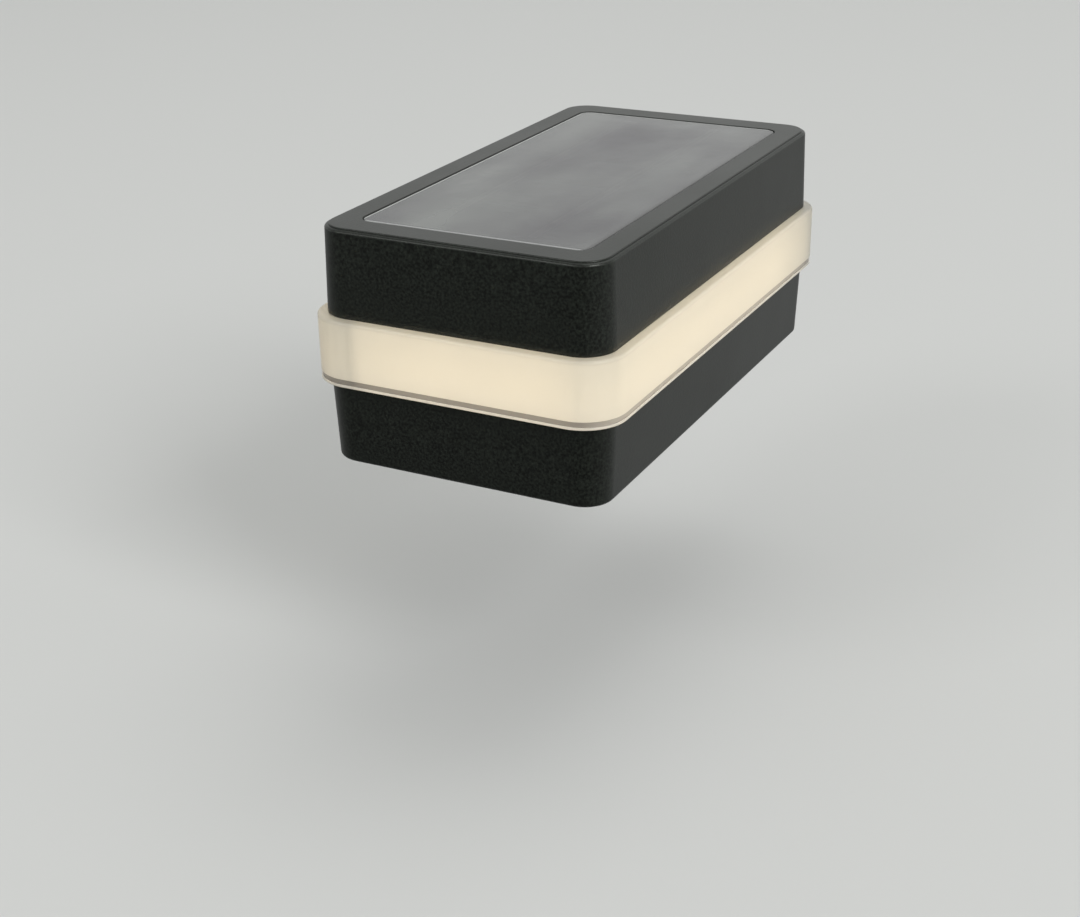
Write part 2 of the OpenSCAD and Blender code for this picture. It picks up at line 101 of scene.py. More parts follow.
def outline(width, length, radius, inset=0.0):
    """Rounded rectangle, anticlockwise: corner centre plus radius times (cos, sin), and one extra
    point on each straight side next to every arc, which keeps the shading of the flats even."""
    reach = max(radius - inset, 0.15 * MM)
    angle = np.linspace(0, math.pi / 2, CORNER_STEPS + 1)
    rows = []
    for quarter in range(4):
        turned = angle + quarter * math.pi / 2
        sx = 1 if quarter in (0, 3) else -1
        sy = 1 if quarter in (0, 1) else -1
        centre = np.array([sx * (width / 2 - inset - reach), sy * (length / 2 - inset - reach)])
        arc = centre + reach * np.stack([np.cos(turned), np.sin(turned)], 1)
        first = arc[0] - SUPPORT * np.array([-math.sin(turned[0]), math.cos(turned[0])])
        last = arc[-1] + SUPPORT * np.array([-math.sin(turned[-1]), math.cos(turned[-1])])
        rows.append(np.vstack([first, arc, last]))
    return np.vstack(rows)


def fillet(inset, z, radius, start, end, steps=6):
    """Arc of a cross-section about (inset, z): angle 0 points out of the part, 90 points up."""
    angle = np.radians(np.linspace(start, end, steps + 1))
    return [(inset - radius * math.cos(a), z + radius * math.sin(a)) for a in angle]


def loft_faces(count, around, closed):
    """Faces of count rows of around points. Face (i, j) joins points j and j + 1 of row i to the same
    two of row i + 1. A closed loft joins its last row to its first, and an open one gets flat ends."""
    i = np.arange(count if closed else count - 1)[:, None]
    j = np.arange(around)[None, :]
    low, high = i * around, ((i + 1) % count) * around
    beside = (j + 1) % around
    faces = np.stack([low + j, low + beside, high + beside, high + j], -1).reshape(-1, 4).tolist()
    if not closed:
        faces.append(list(range(around))[::-1])
        faces.append(list(range((count - 1) * around, count * around)))
    return faces


def profile_rows(profile, width, length, radius):
    """One row of points per (inset, height) pair: the outline inset by that much, at that height."""
    return np.vstack([np.column_stack([outline(width, length, radius, inset), np.full(AROUND, z)])
                      for inset, z in profile])


def skin(profile, width, length, radius, closed):
    """Vertices and faces of a profile carried round the outline. A closed profile makes a frame, an
    open one a solid with a flat face at each end."""
    return profile_rows(profile, width, length, radius), loft_faces(len(profile), AROUND, closed)


def lathe(profile, x, y, around=40):
    """Turned solid about a vertical axis at (x, y): profile is (radius, z), rising on the outside."""
    angle = np.linspace(0, 2 * math.pi, around, endpoint=False)
    radius, z = np.array(profile).T
    grid = np.stack([x + radius[:, None] * np.cos(angle), y + radius[:, None] * np.sin(angle),
                     np.repeat(z[:, None], around, 1)], -1)
    return grid.reshape(-1, 3), loft_faces(len(profile), around, closed=False)


def blocks(solid, cut=()):
    """Union of boxes minus cuts, as a skin. Every box face gives a plane of a grid; a cell is full
    when its middle is in a solid box and in no cut. A face is made wherever full meets empty."""
    corners = np.array(list(solid) + list(cut))
    planes = [np.unique(np.round(corners[:, :, k].ravel(), 7)) for k in range(3)]
    middle = [(p[1:] + p[:-1]) / 2 for p in planes]
    grid = np.meshgrid(*middle, indexing="ij")
    full = np.zeros(grid[0].shape, bool)
    for state, boxes in ((True, solid), (False, cut)):
        for low, high in boxes:
            inside = np.ones_like(full)
            for k in range(3):
                inside &= (grid[k] > low[k]) & (grid[k] < high[k])
            full[inside] = state
    padded = np.pad(full, 1)
    size = [len(p) for p in planes]
    faces = []
    for k in range(3):
        a, b = (k + 1) % 3, (k + 2) % 3
        for step in (1, -1):
            open_side = padded & ~np.roll(padded, -step, k)
            cell = np.argwhere(open_side) - 1
            base = cell.copy()
            base[:, k] += 1 if step > 0 else 0
            ring = []
            for da, db in ((0, 0), (1, 0), (1, 1), (0, 1))[::step]:
                corner = base.copy()
                corner[:, a] += da
                corner[:, b] += db
                ring.append((corner[:, 0] * size[1] + corner[:, 1]) * size[2] + corner[:, 2])
            faces.append(np.stack(ring, 1))
    faces = np.vstack(faces)
    used, faces = np.unique(faces, return_inverse=True)
    index = np.stack(np.unravel_index(used, size), 1)
    points = np.stack([planes[k][index[:, k]] for k in range(3)], 1)
    return points, faces.reshape(-1, 4).tolist()


def piece(name, shells, body, stands_for=(), sharp=35):
    """Joins shells into one mesh object in the CAD frame, and says what it rides on and replaces."""
    points, faces, start = [], [], 0
    for shell_points, shell_faces in shells:
        points.append(shell_points)
        faces += [[v + start for v in f] for f in shell_faces]
        start += len(shell_points)
    mesh = bpy.data.meshes.new(name)
    mesh.from_pydata(np.vstack(points).tolist(), [], faces)
    mesh.polygons.foreach_set("use_smooth", np.ones(len(mesh.polygons), bool))
    mesh.set_sharp_from_angle(angle=math.radians(sharp))
    mesh.update()
    thing = bpy.data.objects.new(name, mesh)
    bpy.context.collection.objects.link(thing)
    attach(thing, body)
    if stands_for:
        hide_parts(*stands_for)
    print(name, len(faces), "faces")
    return thing


def soften(thing, width, segments=2):
    """A small bevel, as every moulded edge has."""
    bevel = thing.modifiers.new("soft_edges", "BEVEL")
    bevel.width = width
    bevel.segments = segments
    bevel.limit_method = "ANGLE"
    bevel.angle_limit = math.radians(40)
    bevel.use_clamp_overlap = True


def box_mm(x0, x1, y0, y1, z0, z1):
    """A box from its limits in millimetres."""
    return [[x0 * MM, y0 * MM, z0 * MM], [x1 * MM, y1 * MM, z1 * MM]]


def size_of(node):
    """Width, length, lowest and highest z of a node, in metres."""
    low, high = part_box(node)
    return high[0] - low[0], high[1] - low[1], low[2], high[2]

# %% [markdown]
# ## Upper housing
# A tray turned upside down. Its sides lean in a little so that it leaves the mould, and the panel
# lies in a shallow recess. The flat rim stands a little proud of a rounded shoulder. From the
# front the small step between them reads as a dark line with a light one under it. One open
# profile draws all of it, from the ceiling, round the rim, to the recess floor.

# %% Upper housing
HOUSING_R = 5.5 * MM
TOP_LEAN = 0.35 * MM
SHOULDER_R = 0.5 * MM
SHOULDER_DROP = 0.25 * MM
RIM_INSET = 1.0 * MM
RIM_EDGE_R = 0.18 * MM
WALL = 1.8 * MM
PANEL_R = 2.0 * MM
PANEL_GAP = 0.25 * MM
RECESS_R = 0.15 * MM
NEAR = 0.05 * MM
cap_w, cap_l, top_z0, top_z1 = size_of("top_shell")
panel_w, panel_l, cover_z0, cover_z1 = size_of("panel_cover")
recess_floor = size_of("panel_adhesive")[2]
plate_z = recess_floor - 2 * MM
rim_w = (cap_w - panel_w) / 2 - PANEL_GAP
print("rim", round(rim_w / MM, 2), "mm wide")


def upper_housing():
    """Ceiling, inner wall, lower edge, drafted outer wall, shoulder, step, rim and recess. The rows
    from the rim inwards follow the recess, whose corners are tighter than the housing's."""
    shoulder_z = top_z1 - SHOULDER_DROP
    profile = [(WALL + 8 * MM, plate_z), (WALL, plate_z), (WALL, top_z0 + NEAR), (WALL, top_z0)]
    profile += fillet(0.12 * MM, top_z0 + 0.12 * MM, 0.12 * MM, -90, 0, 3)
    profile += [(0.02 * MM, top_z0 + 0.8 * MM), (TOP_LEAN, shoulder_z - SHOULDER_R - NEAR)]
    profile += fillet(TOP_LEAN + SHOULDER_R, shoulder_z - SHOULDER_R, SHOULDER_R, 0, 90, 7)
    profile += [(RIM_INSET - 0.02 * MM, shoulder_z), (RIM_INSET, shoulder_z + 0.02 * MM)]
    profile += fillet(RIM_INSET + RIM_EDGE_R, top_z1 - RIM_EDGE_R, RIM_EDGE_R, 0, 90, 4)
    profile += [(RIM_INSET + RIM_EDGE_R + NEAR, top_z1)]
    recess = [(rim_w - RECESS_R - NEAR, top_z1)]
    recess += fillet(rim_w - RECESS_R, top_z1 - RECESS_R, RECESS_R, 90, 180, 3)
    recess += [(rim_w, recess_floor + NEAR), (rim_w, recess_floor), (rim_w + 3 * MM, recess_floor)]
    rows = [profile_rows(profile, cap_w, cap_l, HOUSING_R)]
    for inset, z in recess:
        grow = PANEL_GAP + rim_w - inset
        ring = outline(panel_w + 2 * grow, panel_l + 2 * grow, max(PANEL_R + grow, 0.3 * MM))
        rows.append(np.column_stack([ring, np.full(AROUND, z)]))
    return np.vstack(rows), loft_faces(len(profile) + len(recess), AROUND, closed=False)


housing_top = piece("upper_housing", [upper_housing()], "housing", ["top_shell"])

# %% [markdown]
# ## Lower housing
# From outside it is a drafted band with a soft lower edge. From below it is a moulding full of
# walls: the socket for the post, ribs, cored sides and four screw towers. The outer band is a
# carried profile, the straight walls are a union of boxes, and the towers are turned.

# %% Lower housing
BASE_LEAN = 0.6 * MM
BASE_EDGE_R = 0.6 * MM
base_w, base_l = cap_w, cap_l
deck_z1 = size_of("lower_gasket")[3]
deck_z0 = size_of("seat_gasket")[3]
post_w, post_l = size_of("seat_gasket")[:2]
SOCKET_W, SOCKET_L = size_of("post_grip_pads")[:2]
HEAD_R = 2.6 * MM
screw_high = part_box("assembly_screws")[1]
pillar_x, pillar_y = screw_high[0] - HEAD_R, screw_high[1] - HEAD_R
door_low, door_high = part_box("battery_door")
BAY_W = 11.4 * MM
DOOR_W = 16 * MM
switch_low, switch_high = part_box("switch_body")
switch_x = (switch_low[0] + switch_high[0]) / 2
switch_y = (switch_low[1] + switch_high[1]) / 2


def outer_band():
    """Closed profile: drafted outside, rounded lower edge, plain inside."""
    near = 0.06 * MM
    low = fillet(BASE_LEAN + BASE_EDGE_R, BASE_EDGE_R, BASE_EDGE_R, -90, 0, 6)
    profile = [(WALL + BASE_LEAN, deck_z1 - 1 * MM), (WALL + BASE_LEAN, 0.1 * MM),
               (WALL + BASE_LEAN - 0.1 * MM, 0.0), (BASE_LEAN + BASE_EDGE_R + near, 0.0)]
    profile += low
    profile += [(BASE_LEAN - 0.01 * MM, BASE_EDGE_R + 2 * near), (near / 2, deck_z1 - 0.3 * MM)]
    profile += fillet(0.1 * MM, deck_z1 - 0.1 * MM, 0.1 * MM, 0, 90, 2)
    profile += [(WALL, deck_z1)]
    return skin(profile, base_w, base_l, HOUSING_R, closed=True)


def straight_walls():
    """Floor of the socket with its openings, socket walls, ribs and side webs, as boxes in mm."""
    half_w, half_l = SOCKET_W / 2 / MM, SOCKET_L / 2 / MM
    deck0, deck1 = deck_z0 / MM, deck_z1 / MM
    side, end = base_w / 2 / MM - 1.9, base_l / 2 / MM - 1.9
    side_wall, end_wall, foot = 0.9, 1.8, 0.02
    rib_x, rib_half, rib_foot = 5, 0.6, 1.5
    web_places, web_foot = ((9.5, 1), (29.5, 1.2)), 0.3
    pocket_y = half_l + end_wall
    solid = [box_mm(-side, side, -end, end, deck0, deck1)]
    for s in (-1, 1):
        xs = sorted((s * half_w, s * (half_w + side_wall)))
        solid.append(box_mm(*xs, -pocket_y, pocket_y, foot, deck0))
        ys = sorted((s * half_l, s * pocket_y))
        solid.append(box_mm(-side + 0.6, side - 0.6, *ys, foot, deck0))
        ribs = sorted((s * (pocket_y - 0.5), s * (end - 0.3)))
        webs = sorted((s * (half_w + 0.5), s * (side - 0.3)))
        for t in (-1, 1):
            solid.append(box_mm(t * rib_x - rib_half, t * rib_x + rib_half, *ribs, rib_foot, deck0))
            for y, half in web_places:
                solid.append(box_mm(*webs, t * y - half, t * y + half, web_foot, deck0))
    return blocks(solid, floor_openings(deck0, deck1))


def floor_openings(deck0, deck1):
    """Recess for the door, battery bay, finger notch, and the well and window of the switch."""
    gap, recess_deep = 0.25, 1.6
    door0, door1 = door_low[1] / MM - gap, door_high[1] / MM + gap
    half_door, half_bay = DOOR_W / 2 / MM + gap, BAY_W / 2 / MM
    bay0, bay1 = -25.6, 23.5
    sx, sy = switch_x / MM, switch_y / MM
    return [box_mm(-half_door, half_door, door0, door1, deck0 - 1, deck0 + recess_deep),
            box_mm(-half_bay, half_bay, bay0, bay1, deck0, deck1 + 1),
            box_mm(-4, 4, door0 - 2.2, door0 + 1, deck0 - 1, deck0 + 0.8),
            box_mm(sx - 2.7, sx + 2.7, sy - 5, sy + 5, deck0 - 1, deck0 + 1),
            box_mm(sx - 1.1, sx + 1.1, sy - 2.3, sy + 2.3, deck0, deck1 + 1)]


def screw_tower(x, y):
    """Outer wall, rounded mouth, counterbore and the seat of the screw head."""
    profile = [(1.6, 8.0), (2.9, 8.0), (2.9, 1.7), (3.1, 1.5), (3.8, 1.5), (4.0, 1.7), (4.0, 12.0)]
    return lathe([(r * MM, z * MM) for r, z in profile], x, y)


def tower_top(x, y):
    """The part of the tower that stands in the light chamber, under the board."""
    z0, z1 = deck_z1 - 1 * MM, size_of("led_board")[2]
    return lathe([(3.0 * MM, z0), (3.0 * MM, z1 - 0.2 * MM), (2.8 * MM, z1), (1.6 * MM, z1)], x, y)


def upstand():
    """Low wall on the floor's upper side that locates the ring."""
    inset, thick, high = 1.5 * MM, 1 * MM, 2 * MM
    return skin([(inset + thick, deck_z1 - 0.5 * MM), (inset, deck_z1 - 0.5 * MM),
                 (inset, deck_z1 + high), (inset + thick, deck_z1 + high)],
                base_w, base_l, HOUSING_R, closed=True)


towers = [(sx * pillar_x, sy * pillar_y) for sx in (-1, 1) for sy in (-1, 1)]
straight = piece("lower_housing_walls", [straight_walls()], "housing")
soften(straight, 0.18 * MM)
housing_low = piece("lower_housing", [outer_band(), upstand()]
                    + [screw_tower(x, y) for x, y in towers] + [tower_top(x, y) for x, y in towers],
                    "housing", ["base_shell"])

# %% [markdown]
# ## Glowing ring
# The ring is built as two mouldings: a clear band with a satin face outside, and an opal liner
# bonded to its back, which the light leaves. Seen straight on, the band is bright. Seen along its
# edge, light from the room passes through its rim, which the liner doesn't back, so the rim looks
# greyer. Two pieces and glass shading allow for that. Colour painted by height in the ring
# materials adds painted shade to that greyer rim, and paints a grey strip of shade and a pale lip of light at
# the foot.

# %% Satin band and opal liner
RING_EDGE_R = 0.5 * MM
STEP_Z, STEP_H, STEP_IN = 0.6 * MM, 0.9 * MM, 0.3 * MM
LIP_UP = 0.14 * MM
BAND_BACK = 0.15 * MM
ring_w, ring_l, ring_z0, _ = size_of("diffuser_ring")
ring_z1 = size_of("upper_gasket")[3]
ring_out = (ring_w - cap_w) / 2


def satin_band():
    """Closed profile of the clear band: lip and small step at the foot, rounded upper edge."""
    back = ring_out + BAND_BACK
    edge = RING_EDGE_R
    near = 0.06 * MM
    z = ring_z0
    profile = [(back, ring_z1 - 0.01 * MM), (back, z + 0.01 * MM), (ring_out, z + 0.01 * MM),
               (0.2 * MM, z + LIP_UP)]
    profile += fillet(0.15 * MM, z + LIP_UP + 0.15 * MM, 0.15 * MM, -90, 0, 3)
    profile += fillet(0.15 * MM, z + STEP_Z - 0.15 * MM, 0.15 * MM, 0, 90, 3)
    profile += [(STEP_IN, z + STEP_Z + 0.02 * MM), (STEP_IN, z + STEP_Z + STEP_H - 0.1 * MM),
                (0.05 * MM, z + STEP_Z + STEP_H), (0.0, z + STEP_Z + STEP_H + near)]
    profile += [(0.0, ring_z1 - edge - near)]
    profile += fillet(edge, ring_z1 - edge, edge, 0, 90, 5)
    return skin(profile, ring_w, ring_l, HOUSING_R + ring_out, closed=True)


def opal_liner():
    """Closed profile bonded to the band: wall, inward flange and spigot inside the upper housing."""
    face, back = BAND_BACK - 0.1 * MM, 1.3 * MM
    flange_z, spigot_z = ring_z1 - 1.6 * MM, ring_z1 + 2 * MM
    profile = [(back, flange_z), (back, ring_z0 + 0.02 * MM), (face, ring_z0 + 0.02 * MM),
               (face, ring_z1 - 0.02 * MM), (2 * MM, ring_z1 - 0.02 * MM), (2 * MM, spigot_z),
               (3.1 * MM, spigot_z), (3.1 * MM, flange_z)]
    return skin(profile, cap_w, cap_l, HOUSING_R, closed=True)


band = piece("satin_band", [satin_band()], "housing", ["diffuser_ring"])
liner = piece("opal_liner", [opal_liner()], "housing")
print("ring stands out", round(ring_out / MM, 2), "mm")

# %% [markdown]
# ## Solar panel
# The panel is potted: cells on a board under a clear laminate whose edge is rounded. The face is
# never quite flat, so the reflections on it wander softly. The rings of this skin step
# inwards across the face, and a few long sine waves lift and lower it by hundredths of a millimetre.

# %% Laminate
COVER_EDGE_R = 0.22 * MM
COVER_RISE = 0.12 * MM
COVER_GROW = 0.1 * MM
WAVE_HEIGHT = 0.05 * MM


def laminate():
    """Closed slab: rounded edge, then rings stepping inwards, with height = sum of long waves that
    fade to nothing at the edge."""
    near = 0.05 * MM
    face_z = cover_z1 + COVER_RISE
    width, length = panel_w + 2 * COVER_GROW, panel_l + 2 * COVER_GROW
    profile = [(1.5 * MM, cover_z0), (0.0, cover_z0), (0.0, face_z - COVER_EDGE_R - near)]
    profile += fillet(COVER_EDGE_R, face_z - COVER_EDGE_R, COVER_EDGE_R, 0, 90, 5)
    steps = np.linspace(COVER_EDGE_R + 0.1 * MM, width / 2 - 0.4 * MM, 36)
    profile += [(float(s), face_z) for s in steps]
    points, faces = skin(profile, width, length, PANEL_R + COVER_GROW, closed=False)
    x, y = points[:, 0], points[:, 1]
    edge = np.minimum(width / 2 - np.abs(x), length / 2 - np.abs(y))
    fade = np.clip((edge - 0.5 * MM) / (5 * MM), 0, 1) ** 2 * (points[:, 2] > face_z - 1e-6)
    crossed = np.sin(x / (6.1 * MM) + 0.7) * np.cos(y / (9.7 * MM))
    slanted = 0.6 * np.sin(y / (4.9 * MM) + x / (13 * MM))
    points[:, 2] += WAVE_HEIGHT * fade * (crossed + slanted)
    return points, faces


cover = piece("panel_laminate", [laminate()], "housing", ["panel_cover"])

# %% [markdown]
# ## Battery door, switch knob, pads and gasket
# These are the parts a user touches or that touch the post, seen when the cap is off its
# post. The door has finger grooves and turns on two small pins. The knob has a ridged face. The
# grip pads have shallow grooves that let the soft plastic give.

# %% Door
hinge = next(j for j in frame["joints"] if j["name"] == "door_hinge")
hinge_y, hinge_z = hinge["pos_m"][1], hinge["pos_m"][2]


def lying_rod(radius, x0, x1, y, z, around=28):
    """Round rod along X from x0 to x1 with its axis at (y, z) and a small chamfer at each end: a
    turned profile of four rows, laid on its side."""
    chamfer = radius * 0.1
    along = np.array([x0, x0 + chamfer, x1 - chamfer, x1])
    radii = radius - np.array([chamfer, 0, 0, chamfer])
    points, faces = lathe(list(zip(radii, along)), 0, 0, around)
    return np.column_stack([points[:, 2], y - points[:, 0], z + points[:, 1]]), [f[::-1] for f in faces]


def door_plate():
    """Flat plate with five finger grooves near its free end."""
    z0, z1 = deck_z0 / MM, deck_z0 / MM + 1.2
    y0, y1 = door_low[1] / MM, hinge_y / MM
    half = DOOR_W / 2 / MM
    grooves = [box_mm(-4.5, 4.5, y0 + 2 + 1.1 * i, y0 + 2.5 + 1.1 * i, z0 - 1, z0 + 0.3) for i in range(5)]
    return blocks([box_mm(-half, half, y0, y1, z0, z1)], grooves)


half_door_w = DOOR_W / 2
door = piece("door_leaf", [door_plate()], "door", ["battery_door"])
soften(door, 0.12 * MM)
door_pins = piece("door_barrel", [lying_rod(0.75 * MM, -half_door_w, half_door_w, hinge_y, hinge_z),
                                  lying_rod(0.5 * MM, door_low[0], door_high[0], hinge_y, hinge_z)],
                  "door")

# %% Knob, pads and gasket
knob_low, knob_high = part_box("switch_slider")


def ridged_knob():
    """Stem with three ridges across its face, and the carriage that keeps it in the switch."""
    x, y = (knob_low[0] + knob_high[0]) / 2 / MM, (knob_low[1] + knob_high[1]) / 2 / MM
    z0, z1 = knob_low[2] / MM, knob_high[2] / MM
    stem = box_mm(x - 0.9, x + 0.9, y - 1, y + 1, z0, z1 - 0.6)
    carriage = box_mm(x - 1.3, x + 1.3, y - 1.3, y + 1.3, z1 - 0.6, z1)
    cuts = [box_mm(x - 2, x + 2, y + o - 0.15, y + o + 0.15, z0 - 1, z0 + 0.3) for o in (-0.4, 0.4)]
    return blocks([stem, carriage], cuts)


PAD_HALF, PAD_Z = 4, (1.5, 9.5)
GROOVE_Z, GROOVE_H, GROOVE_DEEP = (3, 5.2, 7.4), 0.6, 0.35
SIDE_PAD_Y, END_PAD_X = 18, 11


def grip_pad(face, back, centre, on_end):
    """One pad from the post's face to the socket wall, with level grooves across its face, in mm. On
    an end wall the pad lies along X, on a side wall along Y."""
    outwards = math.copysign(1, face)

    def slab(first, second, half, z0, z1):
        across = sorted((first, second))
        along = (centre - half, centre + half)
        return box_mm(*along, *across, z0, z1) if on_end else box_mm(*across, *along, z0, z1)

    grooves = [slab(face - outwards, face + outwards * GROOVE_DEEP, PAD_HALF + 1, z, z + GROOVE_H)
               for z in GROOVE_Z]
    return blocks([slab(face, back, PAD_HALF, *PAD_Z)], grooves)


def grip_pads():
    """Two pads on each of the four socket walls."""
    shells = []
    for s in (-1, 1):
        for t in (-1, 1):
            shells.append(grip_pad(s * post_w / 2 / MM, s * SOCKET_W / 2 / MM, t * SIDE_PAD_Y, on_end=False))
            shells.append(grip_pad(s * post_l / 2 / MM, s * SOCKET_L / 2 / MM, t * END_PAD_X, on_end=True))
    return shells


def seat_frame():
    """Foam frame with soft edges, carried round the post's outline."""
    z0, z1 = size_of("seat_gasket")[2:]
    r, thick = 0.25 * MM, 2 * MM
    profile = fillet(r, z0 + r, r, -90, 0, 3) + [(0.0, z1), (thick, z1)]
    profile += fillet(thick - r, z0 + r, r, 180, 270, 3)
    return skin(profile, post_w, post_l, 0.6 * MM, closed=True)


knob = piece("ridged_knob", [ridged_knob()], "switch", ["switch_slider"])
soften(knob, 0.08 * MM)
pads = piece("ribbed_pads", grip_pads(), "housing", ["post_grip_pads"])
soften(pads, 0.15 * MM)
seat = piece("foam_seat", [seat_frame()], "housing", ["seat_gasket"])

# %% [markdown]
# ## Finishes
# Moulded plastic is never even: the tool is spark-eroded, so the face has a fine grain, the
# gloss drifts a little from place to place, and dust settles on what faces up. Two shader node
# groups hold those effects, and each finish places them with its own values.

# %% Shader groups


def new_group(name, inputs, outputs):
    """An empty shader group with named sockets, given as (name, kind, default)."""
    group = bpy.data.node_groups.new(name, "ShaderNodeTree")
    for label, kind, value in inputs:
        socket = group.interface.new_socket(label, in_out="INPUT", socket_type=kind)
        if value is not None:
            socket.default_value = value
    for label, kind in outputs:
        group.interface.new_socket(label, in_out="OUTPUT", socket_type=kind)
    return group, group.nodes.new("NodeGroupInput"), group.nodes.new("NodeGroupOutput")


def math_node(tree, operation, a, b, clamp=False):
    """A Math node fed by sockets or plain numbers."""
    node = tree.nodes.new("ShaderNodeMath")
    node.operation = operation
    node.use_clamp = clamp
    for socket, value in zip(node.inputs, (a, b)):
        if isinstance(value, (int, float)):
            socket.default_value = value
        else:
            tree.links.new(value, socket)
    return node.outputs[0]


def ramp(tree, value, start, length):
    """0 up to start, then a straight rise to 1 over length."""
    return math_node(tree, "DIVIDE", math_node(tree, "SUBTRACT", value, start), length, True)


def peak(tree, value, centre, half_width):
    """1 at centre, falling to 0 at half_width on either side."""
    away = math_node(tree, "ABSOLUTE", math_node(tree, "SUBTRACT", value, centre), 0.0)
    return math_node(tree, "SUBTRACT", 1.0, math_node(tree, "DIVIDE", away, half_width), True)


def weighted(tree, *shares):
    """Sum of (share, weight) pairs."""
    total = 0.0
    for share, weight in shares:
        total = math_node(tree, "ADD", math_node(tree, "MULTIPLY", share, weight), total)
    return total


def noise(tree, vector, scale, detail=3.0, roughness=0.55):
    """A noise texture; scale may be a number or a socket, in waves per metre."""
    node = tree.nodes.new("ShaderNodeTexNoise")
    node.inputs["Detail"].default_value = detail
    node.inputs["Roughness"].default_value = roughness
    if isinstance(scale, (int, float)):
        node.inputs["Scale"].default_value = scale
    else:
        tree.links.new(scale, node.inputs["Scale"])
    tree.links.new(vector, node.inputs["Vector"])
    return node.outputs["Fac"]


def build_grain():
    """Grain group: Height is fine noise, Tone is 1 plus a slow drift and the fine noise times Speck,
    and Roughness is a base plus a little of both."""
    group, given, made = new_group(
        "spark_grain",
        [("Vector", "NodeSocketVector", None), ("Scale", "NodeSocketFloat", 3000.0),
         ("Roughness", "NodeSocketFloat", 0.45), ("Drift", "NodeSocketFloat", 0.12),
         ("Speck", "NodeSocketFloat", 0.25)],
        [("Height", "NodeSocketFloat"), ("Tone", "NodeSocketFloat"), ("Roughness", "NodeSocketFloat")])
    fine = noise(group, given.outputs["Vector"], given.outputs["Scale"])
    slow = noise(group, given.outputs["Vector"], 60.0, 4.0)
    centred = math_node(group, "SUBTRACT", slow, 0.5)
    drift = math_node(group, "MULTIPLY", centred, given.outputs["Drift"])
    tone = math_node(group, "ADD", math_node(group, "MULTIPLY", drift, 2.0), 1.0)
    grit = math_node(group, "SUBTRACT", fine, 0.5)
    rough = math_node(group, "ADD", math_node(group, "ADD", given.outputs["Roughness"], drift),
                      math_node(group, "MULTIPLY", grit, 0.12))
    speck = math_node(group, "MULTIPLY", grit, given.outputs["Speck"])
    speckled = math_node(group, "MAXIMUM", math_node(group, "ADD", tone, speck), 0.2)
    group.links.new(fine, made.inputs["Height"])
    group.links.new(speckled, made.inputs["Tone"])
    group.links.new(rough, made.inputs["Roughness"])
    return group


def build_dust():
    """Dust group: Mask is high where the surface faces up and a patchy noise allows it."""
    group, given, made = new_group(
        "settled_dust",
        [("Vector", "NodeSocketVector", None), ("Normal", "NodeSocketVector", None),
         ("Amount", "NodeSocketFloat", 0.1)],
        [("Mask", "NodeSocketFloat")])
    split = group.nodes.new("ShaderNodeSeparateXYZ")
    group.links.new(given.outputs["Normal"], split.inputs[0])
    up = math_node(group, "MAXIMUM", split.outputs["Z"], 0.0)
    patch = math_node(group, "ADD", noise(group, given.outputs["Vector"], 220.0, 5.0, 0.7), 0.25)
    facing = math_node(group, "MULTIPLY", up, patch)
    mask = math_node(group, "MULTIPLY", facing, given.outputs["Amount"], True)
    group.links.new(mask, made.inputs["Mask"])
    return group


GRAIN = build_grain()
DUST = build_dust()
print("groups", GRAIN.name, DUST.name)

# %% A finish on those groups


class Finish:
    """A Principled material with object coordinates and short ways to feed it."""

    def __init__(self, name, **constants):
        self.material = bpy.data.materials.new(name)
        self.material.use_nodes = True
        self.tree = self.material.node_tree
        self.shader = self.tree.nodes["Principled BSDF"]
        self.place = self.tree.nodes.new("ShaderNodeTexCoord")
        for label, value in constants.items():
            self.shader.inputs[label.replace("_", " ")].default_value = value

    def position(self):
        """X, Y and Z on the part, as sockets."""
        split = self.tree.nodes.new("ShaderNodeSeparateXYZ")
        self.tree.links.new(self.place.outputs["Object"], split.inputs[0])
        return split.outputs["X"], split.outputs["Y"], split.outputs["Z"]

    def group(self, group, **values):
        """Places a shader group, with this finish's own values."""
        node = self.tree.nodes.new("ShaderNodeGroup")
        node.node_tree = group
        self.tree.links.new(self.place.outputs["Object"], node.inputs["Vector"])
        if "Normal" in node.inputs:
            self.tree.links.new(self.place.outputs["Normal"], node.inputs["Normal"])
        for label, value in values.items():
            node.inputs[label].default_value = value
        return node

    def mix(self, factor, a, b, mode="MIX"):
        """Mix Color node; each of the three may be a socket or a value."""
        node = self.tree.nodes.new("ShaderNodeMix")
        node.data_type = "RGBA"
        node.blend_type = mode
        sockets = (node.inputs[0], node.inputs[6], node.inputs[7])
        for socket, value in zip(sockets, (factor, a, b)):
            if hasattr(value, "is_output"):
                self.tree.links.new(value, socket)
            elif isinstance(value, (int, float)):
                socket.default_value = value
            else:
                socket.default_value = (*value, 1.0)
        return node.outputs[2]

    def feed(self, label, output):
        """Links an output to the shader's socket of that name."""
        self.tree.links.new(output, self.shader.inputs[label])

    def bump(self, height, strength, distance):
        """Turns a height into small slopes of the surface."""
        node = self.tree.nodes.new("ShaderNodeBump")
        node.inputs["Strength"].default_value = strength
        node.inputs["Distance"].default_value = distance
        self.tree.links.new(height, node.inputs["Height"])
        self.feed("Normal", node.outputs["Normal"])


